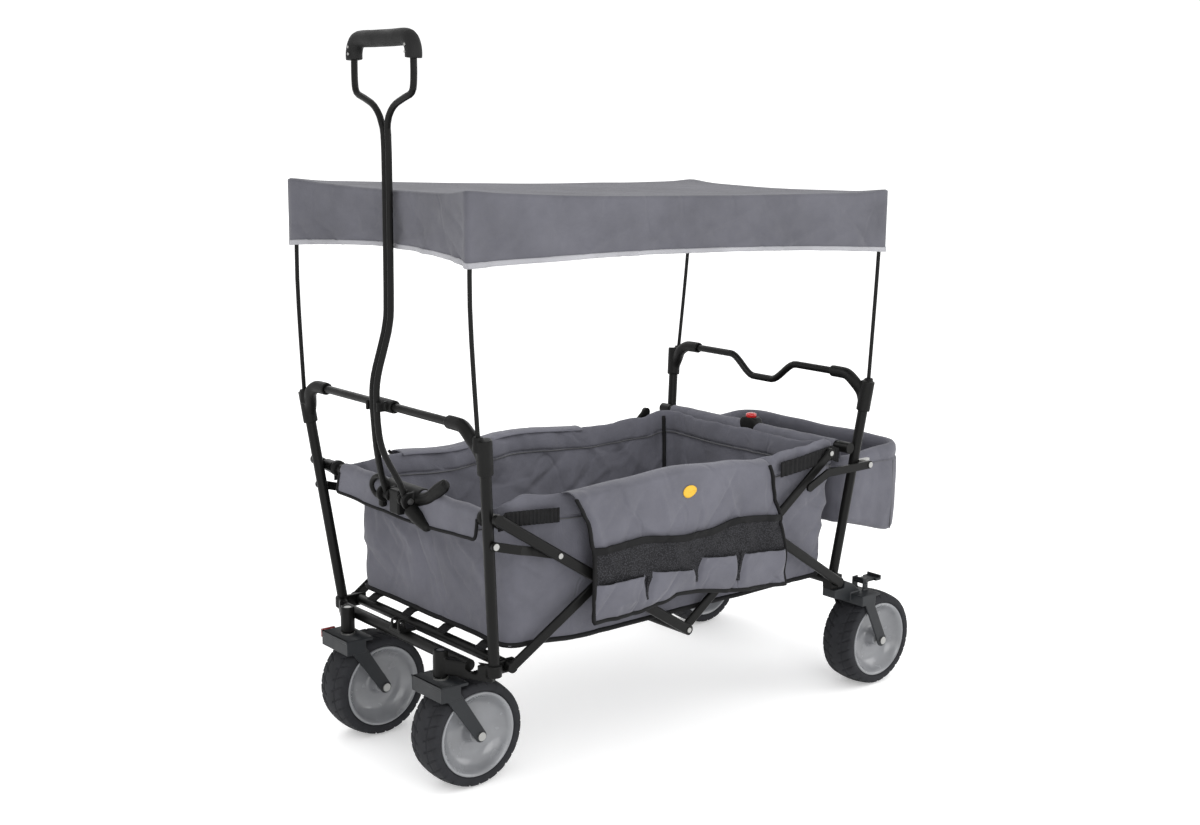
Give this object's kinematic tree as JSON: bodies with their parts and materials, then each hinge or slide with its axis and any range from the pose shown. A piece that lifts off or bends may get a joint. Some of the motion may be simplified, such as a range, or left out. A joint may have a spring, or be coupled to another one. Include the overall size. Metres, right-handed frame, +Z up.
{
  "type": "folding camp wagon",
  "caption": "Folding camp wagon with scissor side frames, cloth tub, pocket panels, rear bag, canopy, swivel front wheels and a pull handle.",
  "frame": {"origin": "on the floor under the middle of the overall box", "axes": "+X to the rear, -X the way it is pulled, +Y to the right-hand side, +Z up"},
  "size_m": [1.21, 0.621, 1.3306],
  "materials": {
    "frame_paint": "black powder coat, satin",
    "black_plastic": "black moulded nylon, fine grain",
    "bright_steel": "zinc-plated rivets and bolts",
    "fork_plastic": "dark grey glass-filled nylon",
    "tub_cloth": "grey coated polyester, plain weave",
    "canopy_cloth": "grey coated polyester with a light hem",
    "mat_cloth": "dark polyester over a stiff board",
    "webbing": "black nylon webbing",
    "red_plastic": "red push button",
    "dark_red_plastic": "dark red lever",
    "rim_plastic": "light grey moulded rim",
    "tyre_foam": "dark grey foam tyre"
  },
  "bodies": {
    "front_frame": {"front_posts": "frame_paint", "front_foot_brackets": "frame_paint", "caster_beam": "frame_paint", "tow_dock": "frame_paint", "front_top_tube": "frame_paint", "front_corner_brackets": "black_plastic", "front_handle_bar": "frame_paint", "handle_clip": "black_plastic", "handle_yoke": "black_plastic", "handle_pivot_pin": "bright_steel", "front_stay_rivets": "bright_steel", "tub_body": "tub_cloth", "side_panels": "tub_cloth", "floor_mat": "mat_cloth", "floor_straps": "webbing"},
    "canopy": {"canopy_cover": "canopy_cloth", "front_canopy_poles": "frame_paint"},
    "rear_poles": {"rear_canopy_poles": "frame_paint"},
    "pull_handle": {"handle_rods": "frame_paint", "handle_grip": "black_plastic", "grip_rivets": "bright_steel"},
    "front_lower_pair": {"front_lower_arms": "frame_paint", "front_torsion_tube": "frame_paint", "front_lower_rivets": "bright_steel"},
    "front_upper_pair": {"front_upper_arms": "frame_paint", "front_upper_caps": "bright_steel"},
    "rear_lower_pair": {"rear_lower_arms": "frame_paint", "rear_torsion_tube": "frame_paint", "rear_lower_rivets": "bright_steel"},
    "rear_upper_pair": {"rear_upper_arms": "frame_paint", "centre_cross_tube": "frame_paint", "rear_upper_caps": "bright_steel"},
    "front_stay_pair": {"front_stays": "frame_paint"},
    "rear_stay_pair": {"rear_stays": "frame_paint"},
    "rear_frame": {"rear_posts": "frame_paint", "rear_foot_brackets": "frame_paint", "rear_top_tube": "frame_paint", "rear_corner_brackets": "black_plastic", "rear_handle_bar": "frame_paint", "rear_stay_rivets": "bright_steel", "wheel_forks": "fork_plastic", "rear_axle_bolts": "bright_steel", "rear_bag": "tub_cloth", "buckle_housing": "black_plastic"},
    "release_button": {"buckle_button": "red_plastic"},
    "brake_left": {"brake_lever_left": "fork_plastic"},
    "brake_right": {"brake_lever_right": "fork_plastic"},
    "caster_left": {"caster_fork_left": "fork_plastic", "caster_bolt_left": "bright_steel"},
    "caster_right": {"caster_fork_right": "fork_plastic", "caster_bolt_right": "bright_steel"},
    "swivel_lock": {"swivel_lock": "dark_red_plastic"},
    "front_left_wheel": {"front_left_rim": "rim_plastic", "front_left_tyre": "tyre_foam"},
    "front_right_wheel": {"front_right_rim": "rim_plastic", "front_right_tyre": "tyre_foam"},
    "rear_left_wheel": {"rear_left_rim": "rim_plastic", "rear_left_tyre": "tyre_foam"},
    "rear_right_wheel": {"rear_right_rim": "rim_plastic", "rear_right_tyre": "tyre_foam"}
  },
  "joints": [
    {"name": "fold", "type": "hinge", "parent": "front_frame", "child": "front_lower_pair", "pos_m": [-0.48, 0, 0.24], "axis": [0, -1, 0], "range_deg": [0, 51.4], "deforming": ["tub_body", "side_panels", "floor_mat", "floor_straps", "canopy_cover"]},
    {"name": "front_cross", "type": "hinge", "parent": "front_lower_pair", "child": "front_upper_pair", "pos_m": [-0.28828, 0, 0.36431], "axis": [0, -1, 0], "range_deg": [-103.51, 0]},
    {"name": "peak", "type": "hinge", "parent": "front_lower_pair", "child": "rear_lower_pair", "pos_m": [-0.0605, 0, 0.512], "axis": [0, -1, 0], "range_deg": [-103, 0]},
    {"name": "rear_cross", "type": "hinge", "parent": "rear_lower_pair", "child": "rear_upper_pair", "pos_m": [0.1374, 0, 0.38368], "axis": [0, -1, 0], "range_deg": [0, 98.12]},
    {"name": "rear_foot", "type": "hinge", "parent": "rear_lower_pair", "child": "rear_frame", "pos_m": [0.359, 0, 0.24], "axis": [0, -1, 0], "range_deg": [0, 51.6]},
    {"name": "front_stay_turn", "type": "hinge", "parent": "front_frame", "child": "front_stay_pair", "pos_m": [-0.538, 0, 0.474], "axis": [0, -1, 0], "range_deg": [0, 77.3]},
    {"name": "rear_stay_turn", "type": "hinge", "parent": "rear_frame", "child": "rear_stay_pair", "pos_m": [0.412, 0, 0.487], "axis": [0, -1, 0], "range_deg": [-72.16, 0]},
    {"name": "canopy_lift", "type": "slide", "parent": "front_frame", "child": "canopy", "axis": [0, 0, 1], "range_m": [0, 0.08]},
    {"name": "rear_pole_lift", "type": "slide", "parent": "rear_frame", "child": "rear_poles", "axis": [0, 0, 1], "range_m": [0, 0.08]},
    {"name": "handle_swing", "type": "hinge", "parent": "front_frame", "child": "pull_handle", "pos_m": [-0.546, 0, 0.505], "axis": [0, -1, 0], "range_deg": [0, 115]},
    {"name": "button_press", "type": "slide", "parent": "rear_frame", "child": "release_button", "axis": [0, 0, -1], "range_m": [0, 0.003], "stiffness_N_per_m": 300},
    {"name": "brake_left_press", "type": "hinge", "parent": "rear_frame", "child": "brake_left", "pos_m": [0.44, -0.2615, 0.226], "axis": [0, 1, 0], "range_deg": [0, 12]},
    {"name": "brake_right_press", "type": "hinge", "parent": "rear_frame", "child": "brake_right", "pos_m": [0.44, 0.2615, 0.226], "axis": [0, 1, 0], "range_deg": [0, 12]},
    {"name": "swivel_left", "type": "hinge", "parent": "front_frame", "child": "caster_left", "pos_m": [-0.56, -0.1565, 0.21], "axis": [0, 0, 1], "continuous": true},
    {"name": "swivel_right", "type": "hinge", "parent": "front_frame", "child": "caster_right", "pos_m": [-0.56, 0.1565, 0.21], "axis": [0, 0, 1], "continuous": true},
    {"name": "lock_flip", "type": "hinge", "parent": "caster_right", "child": "swivel_lock", "pos_m": [-0.571, 0.2077, 0.205], "axis": [1, 0, 0], "range_deg": [0, 25]},
    {"name": "front_left_spin", "type": "hinge", "parent": "caster_left", "child": "front_left_wheel", "pos_m": [-0.505, -0.1565, 0.1], "axis": [0, 1, 0], "continuous": true},
    {"name": "front_right_spin", "type": "hinge", "parent": "caster_right", "child": "front_right_wheel", "pos_m": [-0.505, 0.1565, 0.1], "axis": [0, 1, 0], "continuous": true},
    {"name": "rear_left_spin", "type": "hinge", "parent": "rear_frame", "child": "rear_left_wheel", "pos_m": [0.465, -0.2615, 0.1], "axis": [0, 1, 0], "continuous": true},
    {"name": "rear_right_spin", "type": "hinge", "parent": "rear_frame", "child": "rear_right_wheel", "pos_m": [0.465, 0.2615, 0.1], "axis": [0, 1, 0], "continuous": true}
  ],
  "couplings": [
    {"joint": "front_cross", "follows": "fold", "ratio": -2.01},
    {"joint": "peak", "follows": "fold", "ratio": -2},
    {"joint": "rear_cross", "follows": "fold", "ratio": 1.905},
    {"joint": "rear_foot", "follows": "fold", "ratio": 1},
    {"joint": "front_stay_turn", "follows": "fold", "ratio": 1.5},
    {"joint": "rear_stay_turn", "follows": "fold", "ratio": -1.4},
    {"joint": "rear_pole_lift", "follows": "canopy_lift", "ratio": 1}
  ]
}
